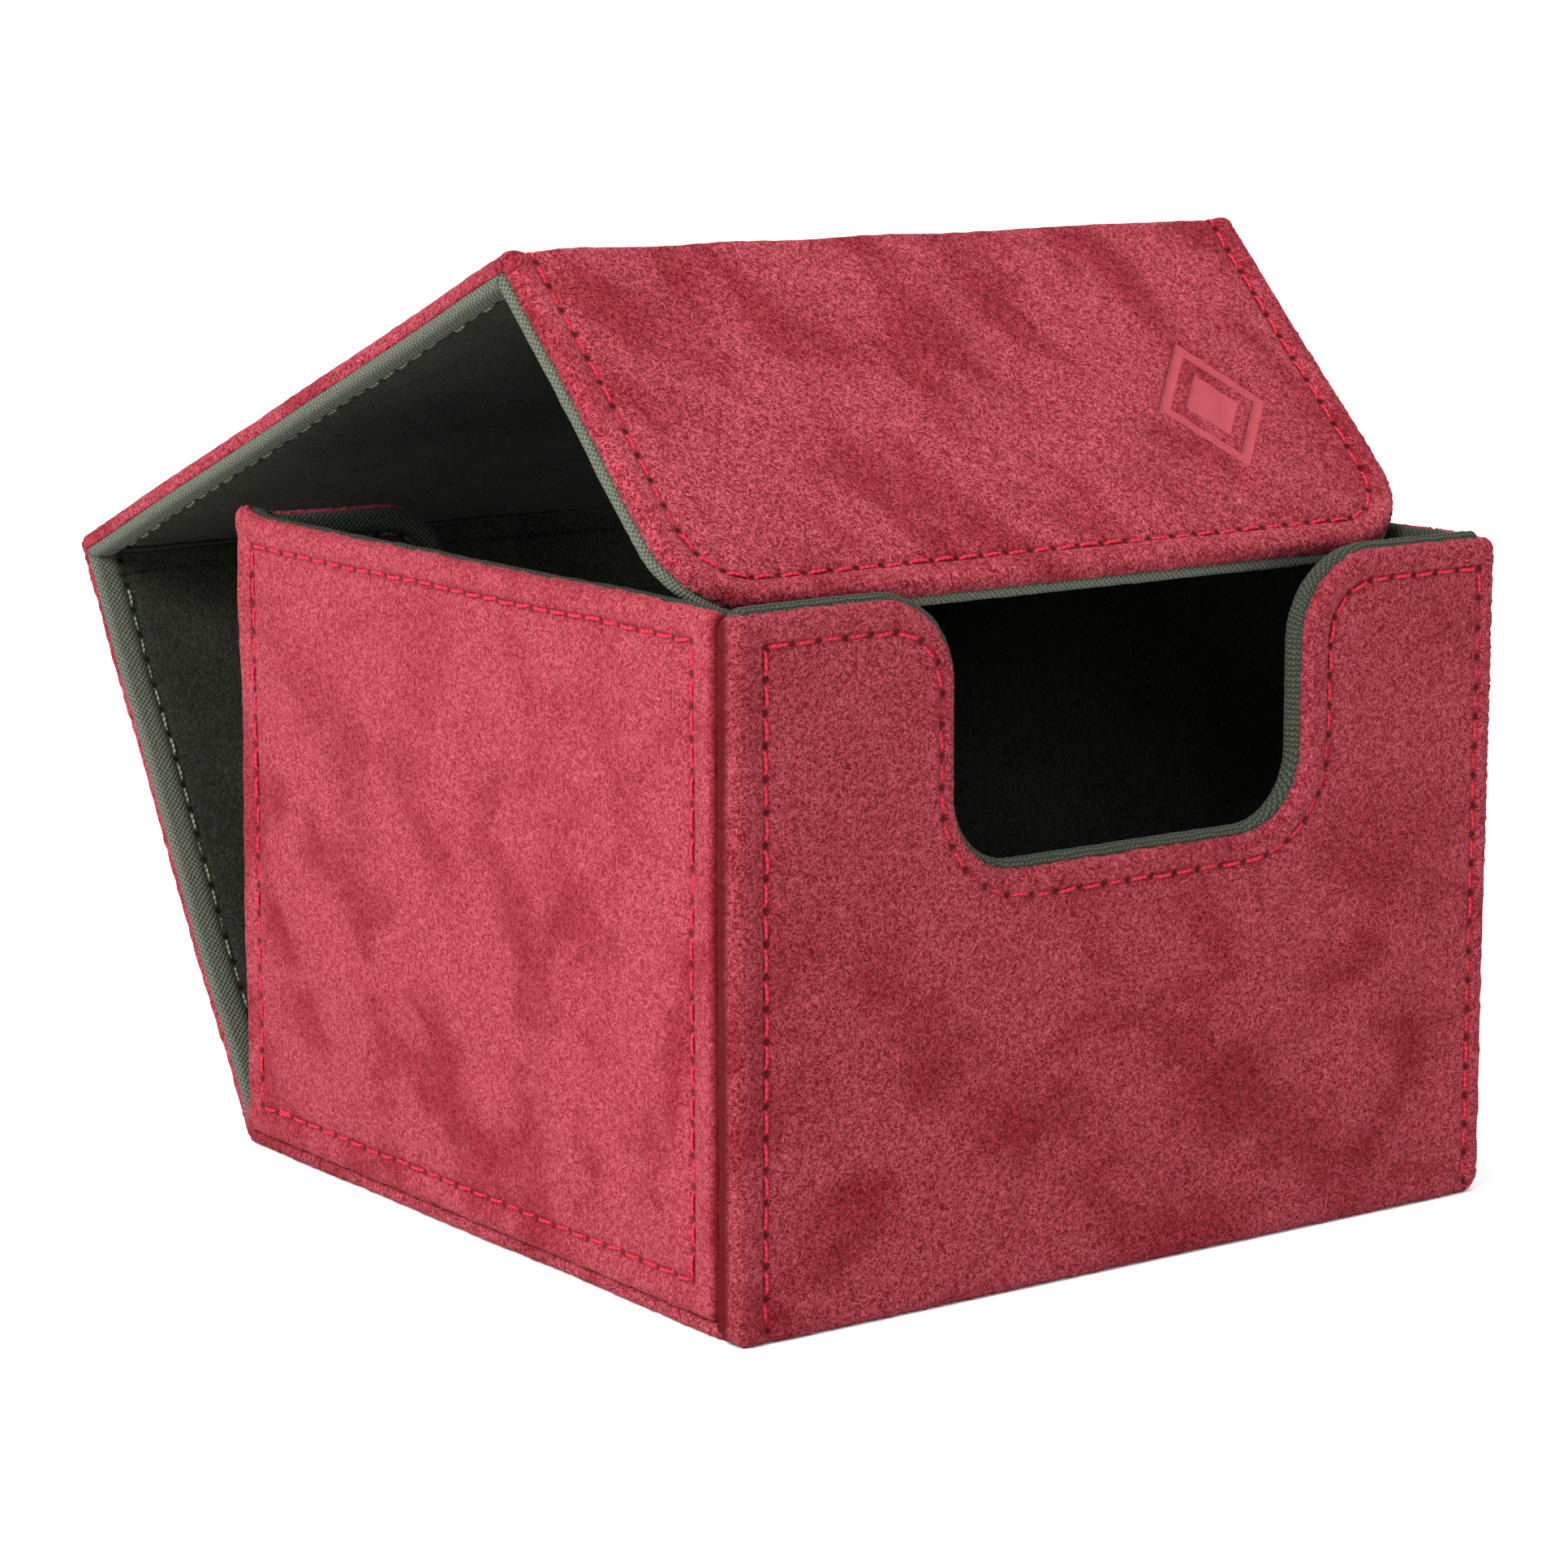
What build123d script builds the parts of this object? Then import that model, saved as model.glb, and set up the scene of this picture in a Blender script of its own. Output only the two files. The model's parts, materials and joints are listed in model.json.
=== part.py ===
from build123d import *
import os
from math import asin, cos, degrees, radians, sin, tan

# Card deck box: a suede-covered tray with a wrap-round cover folded in three places, held part-way open.
# Millimetres. +Z up, the front wall faces -Y. The origin is on the floor, under the middle of the tray.

# ---- overall sizes -------------------------------------------------------------------------------
TRAY_WIDTH = 104.0        # outside, left to right
TRAY_DEPTH = 100.0        # outside, front wall to rear wall
TRAY_HEIGHT = 75.0        # floor to the rims
BASE_INSET = 0.75         # the base stops a little inside the side walls' outer faces
COVER_INSET = 1.7         # back cover, lid and flap stop further inside them
FLAP_LENGTH = 48.4        # fold corner to free edge

# ---- layers of every panel, outside to inside ----------------------------------------------------
SKIN = 0.8                # suede cloth, wrapped round the board's edges
BOARD = 1.7               # stiff board in the walls and the cover
BASE_BOARD = 1.2          # thinner board in the base
LINING = 0.7              # knitted lining cloth
EDGE_ROUND = 0.6          # rolled outer edge of the skin
LINING_INSET = 0.2        # lining kept back from the rolled edge

# ---- open position of the cover ------------------------------------------------------------------
BACK_LEAN = 30.15         # back cover leans out from the vertical
LID_RISE = 22.4           # lid climbs towards the front
FLAP_DIP = 1.4            # free edge's middle hangs this far below the rims, between the side walls

# ---- folds ---------------------------------------------------------------------------------------
FOLD_RADIUS = 1.2         # outside radius of the soft fold, about its hinge line
PANEL_GAP = 0.34          # between two panels at their tightest fold
COVER_GAP = 0.3           # between the closed cover and the tray

# ---- thumb notches, in the front and rear walls --------------------------------------------------
NOTCH_WIDTH = 48.0
NOTCH_DEPTH = 29.6
NOTCH_TOP_RADIUS = 9.5
NOTCH_BOTTOM_RADIUS = 8.5

# ---- corners seen square on ----------------------------------------------------------------------
RIM_CORNER = 1.5          # top corners of the front wall
FOOT_CORNER = 2.2         # bottom corners of the front wall
WALL_CORNER = 1.2         # rear vertical corners of the tray
FLAP_CORNER = 10.0        # free corners of the flap

# ---- closure magnets -----------------------------------------------------------------------------
MAGNET_RADIUS = 5.0
MAGNET_THICKNESS = 1.2
MAGNET_SPREAD = 30.0      # each side of the middle
MAGNET_DROP = 42.0        # below the closed lid's fold corner
MAGNET_FIT = 0.1          # pocket larger than the magnet, all round

# ---- sizes that follow ---------------------------------------------------------------------------
PANEL = SKIN + BOARD + LINING
CRUST = SKIN + BOARD                       # red part of a panel's edge
BASE_CRUST = SKIN + BASE_BOARD             # the walls stand on this
HALF_WIDTH = TRAY_WIDTH / 2
HALF_DEPTH = TRAY_DEPTH / 2
COVER_STAND_OFF = PANEL + COVER_GAP        # closed cover's outer face from the tray's
BACK_LENGTH = TRAY_HEIGHT + COVER_STAND_OFF
LID_LENGTH = TRAY_DEPTH + 2 * COVER_STAND_OFF
INNER_DROP = PANEL - FOLD_RADIUS           # a panel's inner face below its hinge line
CRUST_DROP = CRUST - FOLD_RADIUS
BASE_WIDTH = TRAY_WIDTH - 2 * BASE_INSET
COVER_WIDTH = TRAY_WIDTH - 2 * COVER_INSET
HALF_FOLD = radians(min(90, 90 + LID_RISE - BACK_LEAN) / 2)   # at the tightest fold, open or closed
MAGNET_HEIGHT = TRAY_HEIGHT + COVER_STAND_OFF - MAGNET_DROP


def block(low, high):
    """Box between two opposite corners."""
    size = [b - a for a, b in zip(low, high)]
    middle = [(a + b) / 2 for a, b in zip(low, high)]
    return Pos(*middle) * Box(*size)


def prism(points, bottom, top):
    """Upright prism on a plan outline."""
    return Pos(0, 0, bottom) * extrude(make_face(Polyline(*points, close=True)), top - bottom)


def fold_setback(drop):
    """How far a face, this far below the hinge line, stays back from it along the panel."""
    return drop / tan(HALF_FOLD) + PANEL_GAP / 2 / sin(HALF_FOLD)


def rounded(sketch, corners):
    """Sketch with each (x, y) corner rounded by its radius."""
    for x, y, radius in corners:
        near = sketch.vertices().sort_by_distance((x, y, 0))[0]
        sketch = fillet(near, radius)
    return sketch


def roll_edge(skin, face):
    """Rounds the rim of the skin's outer face."""
    return fillet(skin.faces().sort_by(face)[-1].outer_wire().edges(), EDGE_ROUND)


# ---- walls of the tray ---------------------------------------------------------------------------

def notched_outline(bottom, lower_corners):
    """Front or rear wall seen square on, with its thumb notch."""
    height = TRAY_HEIGHT - bottom
    notch_floor = TRAY_HEIGHT - NOTCH_DEPTH
    outline = Pos(0, bottom + height / 2) * Rectangle(TRAY_WIDTH, height)
    outline -= Pos(0, notch_floor + NOTCH_DEPTH) * Rectangle(NOTCH_WIDTH, 2 * NOTCH_DEPTH)
    corners = lower_corners
    for side in (-1, 1):
        corners = corners + [
            (side * NOTCH_WIDTH / 2, TRAY_HEIGHT, NOTCH_TOP_RADIUS),
            (side * NOTCH_WIDTH / 2, notch_floor, NOTCH_BOTTOM_RADIUS),
        ]
    return rounded(outline, corners)


def stand_up(outline, outer_y, inwards, start, end):
    """Layer of an upright wall, between two depths below its outer face."""
    layer = extrude(Plane.XZ * outline, -1.0 * (end - start))
    shift = outer_y + inwards * start
    if inwards < 0:
        shift -= end - start
    return Pos(0, shift, 0) * layer


def front_wall():
    lower = [(side * HALF_WIDTH, 0, FOOT_CORNER) for side in (-1, 1)]
    upper = [(side * HALF_WIDTH, TRAY_HEIGHT, RIM_CORNER) for side in (-1, 1)]
    outline = notched_outline(0, lower + upper)
    core = offset(outline, -SKIN)
    board = stand_up(core, -HALF_DEPTH, 1, SKIN, CRUST)
    skin = stand_up(outline, -HALF_DEPTH, 1, 0, CRUST)
    skin = roll_edge(skin, -Axis.Y) - board
    lining = stand_up(offset(outline, -LINING_INSET), -HALF_DEPTH, 1, CRUST, PANEL)
    for side in (-1, 1):
        board -= magnet(side, -HALF_DEPTH + SKIN, MAGNET_FIT)
    return {"skin": skin, "board": board, "lining": lining}


def rear_plan(depth):
    """Plan of the rear wall to a mitre at both ends, from this depth below its outer face."""
    inner = HALF_WIDTH - PANEL
    return [
        (-HALF_WIDTH + depth, HALF_DEPTH - depth),
        (-inner, HALF_DEPTH - PANEL),
        (inner, HALF_DEPTH - PANEL),
        (HALF_WIDTH - depth, HALF_DEPTH - depth),
    ]


def rear_wall():
    outline = notched_outline(BASE_CRUST, [])
    core = offset(outline, -SKIN)
    mitred = prism(rear_plan(0), BASE_CRUST, TRAY_HEIGHT)
    inset = 2 * SKIN
    board = stand_up(core, HALF_DEPTH, -1, SKIN, CRUST)
    board &= block(
        (-HALF_WIDTH + PANEL + inset, 0, BASE_CRUST), (HALF_WIDTH - PANEL - inset, HALF_DEPTH, TRAY_HEIGHT)
    )
    skin = stand_up(outline, HALF_DEPTH, -1, 0, CRUST)
    skin = (skin & mitred) - stand_up(core, HALF_DEPTH, -1, SKIN, CRUST)
    lining = stand_up(offset(outline, -LINING_INSET), HALF_DEPTH, -1, CRUST, PANEL) & mitred
    return {"skin": round_wall_corners(skin), "board": board, "lining": lining}


def side_wall(side):
    """Left (-1) or right (+1) wall: butts on the front wall, mitred to the rear wall."""
    front = -HALF_DEPTH + PANEL

    def layer(start, end, front_inset, low, high):
        outer, inner = side * (HALF_WIDTH - start), side * (HALF_WIDTH - end)
        plan = [
            (outer, front + front_inset),
            (outer, HALF_DEPTH - start),
            (inner, HALF_DEPTH - end),
            (inner, front + front_inset),
        ]
        return prism(plan, low, high)

    hollow = layer(SKIN, CRUST, SKIN, BASE_CRUST + SKIN, TRAY_HEIGHT - SKIN)
    board = hollow & block(
        (-HALF_WIDTH, front, 0), (HALF_WIDTH, HALF_DEPTH - PANEL - 2 * SKIN, TRAY_HEIGHT)
    )
    skin = layer(0, CRUST, 0, BASE_CRUST, TRAY_HEIGHT) - hollow
    lining = layer(CRUST, PANEL, LINING_INSET, BASE_CRUST + LINING_INSET, TRAY_HEIGHT - LINING_INSET)
    return {"skin": round_wall_corners(skin), "board": board, "lining": lining}


def round_wall_corners(skin):
    """Trims the skin to the tray's rounded rear corners and rolled rim."""
    plan = Pos(0, -FOLD_RADIUS) * Rectangle(TRAY_WIDTH, TRAY_DEPTH + 2 * FOLD_RADIUS)
    plan = fillet(plan.vertices().group_by(Axis.Y)[-1], WALL_CORNER)
    envelope = extrude(plan, TRAY_HEIGHT)
    rim = envelope.faces().sort_by(Axis.Z)[-1].edges().sort_by(Axis.Y)[1:]
    return skin & fillet(rim, EDGE_ROUND)


def base():
    front = -HALF_DEPTH + PANEL
    rear = HALF_DEPTH + COVER_STAND_OFF - FOLD_RADIUS - fold_setback(CRUST_DROP)
    half = BASE_WIDTH / 2
    board = block((-half + SKIN, front + SKIN, SKIN), (half - SKIN, rear - SKIN, BASE_CRUST))
    skin = roll_edge(block((-half, front, 0), (half, rear, BASE_CRUST)), -Axis.Z) - board
    inside = HALF_WIDTH - PANEL - LINING_INSET
    depth = HALF_DEPTH - PANEL - LINING_INSET
    lining = block((-inside, -depth, BASE_CRUST), (inside, depth, BASE_CRUST + LINING))
    return {"skin": skin, "board": board, "lining": lining}


def magnet(side, outer_y, spare=0.0):
    """Disc magnet (or its pocket) of the front wall, its outer face at this depth."""
    disc = Cylinder(MAGNET_RADIUS + spare, MAGNET_THICKNESS + spare, rotation=(90, 0, 0))
    middle = outer_y + (MAGNET_THICKNESS + spare) / 2
    return Pos(side * MAGNET_SPREAD, middle, MAGNET_HEIGHT) * disc


# ---- cover ---------------------------------------------------------------------------------------
# Each cover panel is drawn flat: x across, y from its first hinge line, z out from the hinge line.

def cover_panel(length, free_end=False):
    """Layers of a cover panel between two hinge lines, or between one and a free edge."""
    half = COVER_WIDTH / 2
    skin_start, lining_start = fold_setback(CRUST_DROP), fold_setback(INNER_DROP)
    end = length if free_end else length - skin_start
    lining_end = length - LINING_INSET if free_end else length - lining_start
    inset = half - LINING_INSET
    skin = block((-half, skin_start, -CRUST_DROP), (half, end, FOLD_RADIUS))
    hollow = block(
        (-half + SKIN, skin_start + SKIN, -CRUST_DROP), (half - SKIN, end - SKIN, FOLD_RADIUS - SKIN)
    )
    lining = block((-inset, lining_start, -INNER_DROP), (inset, lining_end, -CRUST_DROP))
    if free_end:
        skin = round_free_corners(skin, FLAP_CORNER)
        hollow = round_free_corners(hollow, FLAP_CORNER - SKIN)
        lining = round_free_corners(lining, FLAP_CORNER - LINING_INSET)
    return {"skin": roll_edge(skin, Axis.Z) - hollow, "board": hollow, "lining": lining}


def round_free_corners(slab, radius):
    return fillet(slab.edges().filter_by(Axis.Z).group_by(Axis.Y)[-1], radius)


def flap_magnet(side, spare=0.0):
    """Disc magnet (or its pocket) against the inner face of the flap's board."""
    disc = Cylinder(MAGNET_RADIUS + spare, MAGNET_THICKNESS + spare)
    height = -CRUST_DROP + (MAGNET_THICKNESS + spare) / 2
    return Pos(side * MAGNET_SPREAD, MAGNET_DROP - FOLD_RADIUS, height) * disc


def fold_rod(x_length):
    """Soft fold between two panels, round about its hinge line."""
    return Cylinder(FOLD_RADIUS, x_length, rotation=(0, 90, 0))


def along(start, angle, distance):
    """Hinge line reached from another along a panel at this angle above the rearward horizontal."""
    return (start[0] + distance * cos(radians(angle)), start[1] + distance * sin(radians(angle)))


def placed(shape, hinge, angle):
    """Puts a flat-drawn cover shape on its hinge line, at its angle."""
    tilt = Plane(
        origin=(0, hinge[0], hinge[1]),
        x_dir=(-1, 0, 0),
        z_dir=(0, sin(radians(angle)), -cos(radians(angle))),
    )
    return tilt * shape


def cover():
    """Back cover, lid, flap and their folds, in the open position."""
    back_angle, lid_angle = 90 - BACK_LEAN, 180 - LID_RISE
    back_span, lid_span = BACK_LENGTH - 2 * FOLD_RADIUS, LID_LENGTH - 2 * FOLD_RADIUS
    flap_span = FLAP_LENGTH - FOLD_RADIUS
    back_hinge = (HALF_DEPTH + COVER_STAND_OFF - FOLD_RADIUS, FOLD_RADIUS)
    lid_hinge = along(back_hinge, back_angle, back_span)
    flap_hinge = along(lid_hinge, lid_angle, lid_span)
    flap_drop = flap_hinge[1] - (TRAY_HEIGHT - FLAP_DIP)
    flap_angle = 180 + degrees(asin(flap_drop / flap_span))
    shapes = {}
    for name, layers, hinge, angle in (
        ("back_cover", cover_panel(back_span), back_hinge, back_angle),
        ("lid", cover_panel(lid_span), lid_hinge, lid_angle),
        ("flap", cover_panel(flap_span, free_end=True), flap_hinge, flap_angle),
    ):
        if name == "flap":
            for side in (-1, 1):
                layers["board"] -= flap_magnet(side, MAGNET_FIT)
        for layer, shape in layers.items():
            shapes[f"{name}_{layer}"] = placed(shape, hinge, angle)
    for name, hinge in (("base_back", back_hinge), ("back_lid", lid_hinge), ("lid_flap", flap_hinge)):
        shapes[f"{name}_fold"] = placed(fold_rod(COVER_WIDTH), hinge, 0)
    for name, side in (("left", 1), ("right", -1)):
        shapes[f"flap_magnet_{name}"] = placed(flap_magnet(side), flap_hinge, flap_angle)
    return shapes


def tray():
    """Base, four walls and the front wall's magnets."""
    shapes = {}
    for name, layers in (
        ("base", base()),
        ("front_wall", front_wall()),
        ("rear_wall", rear_wall()),
        ("left_wall", side_wall(-1)),
        ("right_wall", side_wall(1)),
    ):
        for layer, shape in layers.items():
            shapes[f"{name}_{layer}"] = shape
    for name, side in (("left", -1), ("right", 1)):
        shapes[f"front_magnet_{name}"] = magnet(side, -HALF_DEPTH + SKIN)
    return shapes


os.makedirs("parts", exist_ok=True)
for node, shape in {**tray(), **cover()}.items():
    export_step(shape, f"parts/{node}.step")
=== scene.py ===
"""Looks of the suede-covered card deck box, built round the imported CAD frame.

Panels are drawn in millimetres on a "path": the outer line of a chain of panels seen from its end.
A point of a panel is (u, a, depth): u along the path, a across it, depth inwards from the outer face.
"""
import json
from math import ceil, cos, degrees, pi, radians, sin, tan

import bmesh
import bpy
import numpy as np
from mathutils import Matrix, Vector


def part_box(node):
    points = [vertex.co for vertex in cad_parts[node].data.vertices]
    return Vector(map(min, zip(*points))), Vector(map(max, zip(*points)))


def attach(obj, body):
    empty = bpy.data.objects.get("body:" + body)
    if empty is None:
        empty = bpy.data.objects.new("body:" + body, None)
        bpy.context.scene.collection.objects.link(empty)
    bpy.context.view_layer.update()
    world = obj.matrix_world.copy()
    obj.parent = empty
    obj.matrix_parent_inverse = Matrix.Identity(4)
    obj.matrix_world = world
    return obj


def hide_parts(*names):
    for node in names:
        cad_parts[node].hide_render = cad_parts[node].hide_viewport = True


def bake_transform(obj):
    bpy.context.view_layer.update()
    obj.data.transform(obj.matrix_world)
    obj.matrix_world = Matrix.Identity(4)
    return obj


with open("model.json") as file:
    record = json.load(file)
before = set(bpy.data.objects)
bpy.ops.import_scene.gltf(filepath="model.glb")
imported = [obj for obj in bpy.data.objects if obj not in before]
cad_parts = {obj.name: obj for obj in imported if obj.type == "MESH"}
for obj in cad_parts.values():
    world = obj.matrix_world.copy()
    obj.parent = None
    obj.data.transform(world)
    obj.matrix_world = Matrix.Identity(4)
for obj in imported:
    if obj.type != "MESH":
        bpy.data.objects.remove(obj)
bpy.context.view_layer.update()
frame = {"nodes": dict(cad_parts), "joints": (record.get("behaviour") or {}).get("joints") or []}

MM = 0.001
rng = np.random.default_rng(11)

# ---- sizes read from the frame, in millimetres ----


def corners(node):
    low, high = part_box(node)
    return np.array(low) / MM, np.array(high) / MM


front_low, front_high = corners("front_wall_skin")
HALF_W, HEIGHT, FRONT = front_high[0], front_high[2], front_low[1]
WALL = corners("front_wall_lining")[1][1] - FRONT
REAR = corners("rear_wall_skin")[1][1]
BASE_HALF, BASE_TOP = corners("base_skin")[1][0], corners("base_skin")[1][2]
COVER_HALF = corners("lid_skin")[1][0]
hinge = {j["name"]: np.array(j["pos_m"][1:]) / MM for j in frame["joints"]}
swing = {j["name"]: j["range_deg"][1] for j in frame["joints"]}
BACK_HINGE, LID_HINGE, FLAP_HINGE = hinge["back_hinge"], hinge["lid_hinge"], hinge["flap_hinge"]
FOLD_R = BACK_HINGE[1]

# ---- sizes chosen for the look, in millimetres ----
FINE, COARSE = 0.34, 1.0  # mesh spacing along seams and edges, and on open cloth
LINING_FINE, LINING_COARSE = 0.5, 1.4
ROLL = 1.1                # roll of the suede over an edge
LINING_ROLL = 0.9
SHELL, LINING_SHELL = 0.75, 0.65  # thickness of the suede and of the lining away from the edges
COVER_CRUST = 1.9         # red part of a cover panel's edge
WALL_CRUST = 1.5          # red part of a tray wall's rim
TRAY_CORNER = 1.8         # soft rear corners of the tray
STITCH_IN = 3.3           # stitch line in from the edge
STITCH_PITCH = 3.3
THREAD = 0.17
STITCH_DRIFT = 0.8        # the front wall's stitching runs a little to the right
NOTCH_HALF, NOTCH_FLOOR = 24.0, HEIGHT - 29.6
NOTCH_TOP_R, NOTCH_BOTTOM_R = 9.5, 8.5
FLAP_CORNER = 10.0
FLAP_SPAN = 47.2
SUEDE_MESH = (ROLL, COARSE, FINE)
KNIT_MESH = (LINING_ROLL, LINING_COARSE, LINING_FINE)
FUZZ = 0.09               # unevenness of a napped edge
RIM_WAVE = 0.06           # waviness of the tray's rim
LEFT_PEAK, RIGHT_PEAK = (0.95, 2.8), (0.3, 3.2)  # height and width of the gathered rear corners
CORNER_MIDDLE = 1.4       # along the rim, from the start of a rear corner to its middle
HOLE_GAP = 0.15           # each end of a stitch is this far from its needle hole
STITCH_DEPTH, STITCH_DIP = 0.16, 0.62  # depth of a stitch's middle, and how much deeper its ends go


# ---- paths ----

class Path:
    """Outer line of a chain of flat runs that turn left round soft corners."""

    def __init__(self, start, heading, runs, turns=(), radius=0.0, u0=0.0):
        self.radius = radius
        self.pieces = []
        point, angle, u = np.array(start, float), radians(heading), u0
        for i, length in enumerate(runs):
            before = turns[i - 1] if i else 0.0
            after = turns[i] if i < len(turns) else 0.0
            self.pieces.append(("run", u, u + length, point, angle, radians(before), radians(after)))
            point = point + length * np.array([cos(angle), sin(angle)])
            u += length
            if after:
                turn = radians(after)
                centre = point + radius * np.array([-sin(angle), cos(angle)])
                self.pieces.append(("arc", u, u + radius * turn, centre, angle, turn, turn))
                angle += turn
                point = centre + radius * np.array([sin(angle), -cos(angle)])
                u += radius * turn
        self.end = u

    def run(self, i):
        """(start, end) of the i-th flat run along the path."""
        flats = [p for p in self.pieces if p[0] == "run"]
        return flats[i][1], flats[i][2]

    def at(self, u, depth):
        """Points in the path's plane."""
        u, depth = np.broadcast_arrays(np.asarray(u, float), np.asarray(depth, float))
        out = np.zeros(u.shape + (2,))
        over = np.maximum(depth - self.radius, 0.0)
        for i, (kind, u0, u1, origin, angle, before, after) in enumerate(self.pieces):
            low = -np.inf if i == 0 else u0
            high = np.inf if i == len(self.pieces) - 1 else u1
            here = (u >= low) & (u <= high)
            if not here.any():
                continue
            if kind == "run":
                s = u - u0
                if before:
                    s = np.maximum(s, over * tan(before / 2))
                if after:
                    s = np.minimum(s, (u1 - u0) - over * tan(after / 2))
                x = origin[0] + s * cos(angle) - depth * sin(angle)
                y = origin[1] + s * sin(angle) + depth * cos(angle)
            else:
                turned = angle + (u - u0) / self.radius
                middle = angle + before / 2
                reach = np.maximum(self.radius - depth, 0.0)
                past = over / cos(before / 2)
                x = origin[0] + reach * np.sin(turned) - past * sin(middle)
                y = origin[1] - reach * np.cos(turned) + past * cos(middle)
            out[..., 0] = np.where(here, x, out[..., 0])
            out[..., 1] = np.where(here, y, out[..., 1])
        return out


def heading(a, b):
    return degrees(np.arctan2(b[1] - a[1], b[0] - a[0]))


back_angle = heading(BACK_HINGE, LID_HINGE)
lid_angle = heading(LID_HINGE, FLAP_HINGE)
back_span = np.linalg.norm(LID_HINGE - BACK_HINGE)
lid_span = np.linalg.norm(FLAP_HINGE - LID_HINGE)
BASE_START = FRONT + WALL

cover = Path(
    (BASE_START, 0.0), 0.0,
    (BACK_HINGE[0] - BASE_START, back_span, lid_span, FLAP_SPAN),
    (back_angle, lid_angle - back_angle, swing["flap_hinge"]),
    FOLD_R,
)
wall_run = REAR - TRAY_CORNER - BASE_START
tray = Path(
    (HALF_W, BASE_START), 90.0,
    (wall_run, 2 * (HALF_W - TRAY_CORNER), wall_run), (90.0, 90.0), TRAY_CORNER,
)
front = Path((-HALF_W, FRONT), 0.0, (2 * HALF_W,), u0=-HALF_W)


def bump_at(x, middle, width):
    return np.exp(-((x - middle) / width) ** 2)


def soft_wave(u):
    """Slow unevenness of a hand-turned edge."""
    return np.sin(u / 6.1) + 0.8 * np.sin(u / 11.3 + 1.9) + 0.3 * np.sin(u / 3.1 + 0.6)


def place_cover(u, a, depth):
    pq = cover.at(u, depth)
    side = a + 0.10 * soft_wave(u) * a / COVER_HALF
    return np.stack([side, pq[..., 0], pq[..., 1]], -1)


def near_rim(a):
    """0 in the lower part of a wall, 1 at the rim."""
    return smooth((a - 62.0) / 13.0)


def place_tray(u, a, depth):
    """The rim is a little wavy, and its rear corners stand up where the cloth is gathered."""
    pq = tray.at(u, depth)
    rear_right, rear_left = tray.run(1)
    peak = (LEFT_PEAK[0] * bump_at(u, rear_left + CORNER_MIDDLE, LEFT_PEAK[1])
            + RIGHT_PEAK[0] * bump_at(u, rear_right - CORNER_MIDDLE, RIGHT_PEAK[1]))
    return np.stack([pq[..., 0], pq[..., 1], a + near_rim(a) * (RIM_WAVE * soft_wave(u) + peak)], -1)


def place_front(u, a, depth):
    pq = front.at(u, depth)
    return np.stack([pq[..., 0], pq[..., 1], a + near_rim(a) * RIM_WAVE * soft_wave(u + 9.0)], -1)


PLACE = {id(cover): place_cover, id(tray): place_tray, id(front): place_front}


def place(path, u, a, depth):
    """Points in the frame, in millimetres."""
    u, a, depth = np.broadcast_arrays(u, a, depth)
    return PLACE[id(path)](u, a, depth)


# ---- small numeric helpers ----

def smooth(t):
    t = np.clip(t, 0.0, 1.0)
    return t * t * (3 - 2 * t)


def ripple(points, size, seed):
    """Soft random field, about -1 to 1, with features of this size."""
    local = np.random.default_rng(seed)
    total = np.zeros(len(points))
    for _ in range(14):
        direction = local.normal(size=points.shape[1])
        direction /= np.linalg.norm(direction)
        wave_number = 2 * pi / size * local.uniform(0.6, 1.5)
        total += np.sin(points @ direction * wave_number + local.uniform(0, 2 * pi))
    return total / 3.2


class Seam:
    """A line of stitches: its polyline, its needle holes, and how far a point is from them."""

    def __init__(self, line, sharp=()):
        self.line = np.asarray(line, float)
        self.lengths = np.r_[0, np.cumsum(np.linalg.norm(np.diff(self.line, axis=0), axis=1))]
        breaks = [0, *sharp, len(self.line) - 1]
        at = [0.0]
        for start, end in zip(breaks[:-1], breaks[1:]):
            low, high = self.lengths[start], self.lengths[end]
            count = max(1, round((high - low) / STITCH_PITCH))
            at.extend(np.linspace(low, high, count + 1)[1:])
        self.at = np.array(at)
        self.holes = np.stack([np.interp(self.at, self.lengths, self.line[:, k]) for k in (0, 1)], 1)

    def nearest(self, u, a):
        """Distance to the line, and place along it counted in stitches."""
        best, along = np.full(u.shape, 1e3), np.zeros(u.shape)
        for (u0, a0), (u1, a1), start in zip(self.line[:-1], self.line[1:], self.lengths):
            du, da = u1 - u0, a1 - a0
            size = max(np.hypot(du, da), 1e-6)
            t = np.clip(((u - u0) * du + (a - a0) * da) / size ** 2, 0, 1)
            off = np.hypot(u - u0 - t * du, a - a0 - t * da)
            closer = off < best
            best = np.where(closer, off, best)
            along = np.where(closer, start + t * size, along)
        return best, np.interp(along, self.at, np.arange(len(self.at)))


def nearest_seam(u, a, seams):
    off, index = np.full(u.shape, 9.0), np.zeros(u.shape)
    for seam in seams:
        seam_off, seam_index = seam.nearest(u, a)
        closer = seam_off < off
        off, index = np.where(closer, seam_off, off), np.where(closer, seam_index, index)
    return off, index


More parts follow.
